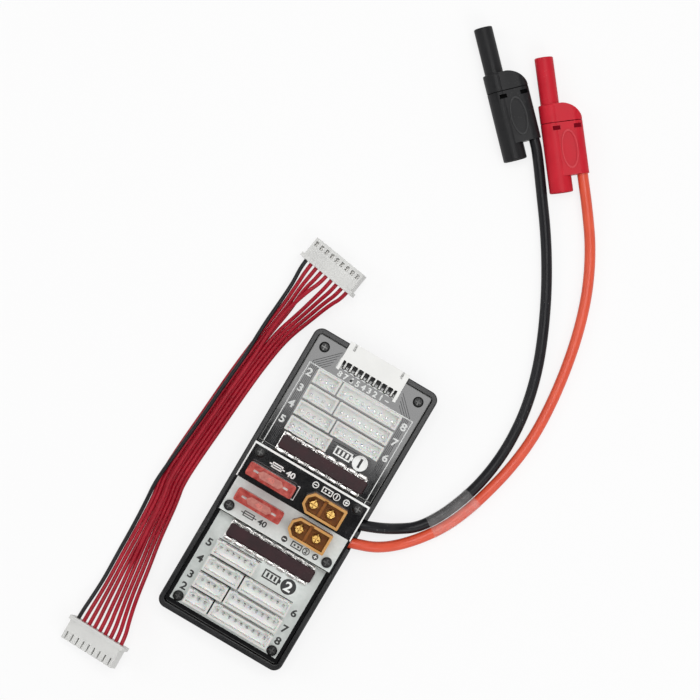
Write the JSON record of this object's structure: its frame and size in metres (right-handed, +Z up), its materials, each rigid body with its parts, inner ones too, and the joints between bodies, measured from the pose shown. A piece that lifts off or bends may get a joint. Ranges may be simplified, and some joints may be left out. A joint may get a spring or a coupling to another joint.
{
  "type": "balance battery charger",
  "caption": "Parallel balance charging board in a black tray, with rows of white balance sockets, blade fuses, amber ports, power cables with safety plugs and a loose balance lead.",
  "frame": {"origin": "centre of the tray's flat underside", "axes": "+Z up out of the board, +Y along the tray towards the balance inlet, +X towards the side where the power cables leave"},
  "size_m": [0.1163, 0.2767, 0.0259],
  "materials": {
    "case": "fine moulded grain",
    "board": "black solder mask with white print",
    "header": "moulded nylon",
    "tinned": "tin plated",
    "polyfuse": "moulded",
    "cover": "dark maroon film",
    "fuse_clear": "clear red",
    "fuse_metal": "stamped sheet",
    "port": "amber nylon",
    "gold": "gold plated",
    "screw": "black oxide",
    "spacer": "turned",
    "silicone_black": "soft silicone",
    "silicone_red": "soft silicone",
    "sleeve": "clear heat shrink",
    "plug_black": "moulded",
    "plug_red": "moulded",
    "lead_black": "vinyl",
    "lead_red": "vinyl"
  },
  "bodies": {
    "charger": {"balance_inlet_housing": "header", "balance_inlet_pins": "tinned", "bank_a_socket_2_cell": "header", "bank_a_socket_3_cell": "header", "bank_a_socket_4_cell": "header", "bank_a_socket_5_cell": "header", "bank_a_socket_6_cell": "header", "bank_a_socket_7_cell": "header", "bank_a_socket_8_cell": "header", "bank_a_socket_pins": "tinned", "bank_b_socket_2_cell": "header", "bank_b_socket_3_cell": "header", "bank_b_socket_4_cell": "header", "bank_b_socket_5_cell": "header", "bank_b_socket_6_cell": "header", "bank_b_socket_7_cell": "header", "bank_b_socket_8_cell": "header", "bank_b_socket_pins": "tinned", "case_tray": "case", "fuse_clips": "fuse_metal", "main_board": "board", "main_board_screws": "screw", "plug_black_body": "plug_black", "plug_black_cap": "plug_black", "plug_black_contact": "gold", "plug_red_body": "plug_red", "plug_red_cap": "plug_red", "plug_red_contact": "gold", "polyfuse_covers": "cover", "polyfuses": "polyfuse", "port_a_housing": "port", "port_a_pins": "gold", "port_b_housing": "port", "port_b_pins": "gold", "power_board": "board", "power_board_screws": "screw", "power_board_spacers": "spacer", "wire_black": "silicone_black", "wire_red": "silicone_red", "wire_sleeve": "sleeve", "wire_tabs": "fuse_metal"},
    "fuse_a": {"fuse_a_body": "fuse_clear", "fuse_a_element": "fuse_metal"},
    "fuse_b": {"fuse_b_body": "fuse_clear", "fuse_b_element": "fuse_metal"},
    "black_sheath": {"plug_black_sheath": "plug_black"},
    "red_sheath": {"plug_red_sheath": "plug_red"},
    "balance_lead": {"lead_contacts": "tinned", "lead_lower_housing": "header", "lead_upper_housing": "header", "lead_wire_black": "lead_black", "lead_wire_red_1": "lead_red", "lead_wire_red_2": "lead_red", "lead_wire_red_3": "lead_red", "lead_wire_red_4": "lead_red", "lead_wire_red_5": "lead_red", "lead_wire_red_6": "lead_red", "lead_wire_red_7": "lead_red", "lead_wire_red_8": "lead_red"}
  },
  "joints": [
    {"name": "fuse_a_pull", "type": "slide", "parent": "charger", "child": "fuse_a", "axis": [0, 0, 1], "range_m": [0, 0.012]},
    {"name": "fuse_b_pull", "type": "slide", "parent": "charger", "child": "fuse_b", "axis": [0, 0, 1], "range_m": [0, 0.012]},
    {"name": "black_sheath_slide", "type": "slide", "parent": "charger", "child": "black_sheath", "axis": [0.6997, -0.7145, 0], "range_m": [0, 0.014], "stiffness_N_per_m": 200},
    {"name": "red_sheath_slide", "type": "slide", "parent": "charger", "child": "red_sheath", "axis": [0.617, -0.7869, 0], "range_m": [0, 0.014], "stiffness_N_per_m": 200},
    {"name": "balance_lead_lift", "type": "slide", "parent": "charger", "child": "balance_lead", "axis": [0, 0, 1], "range_m": [0, 0.06]}
  ]
}
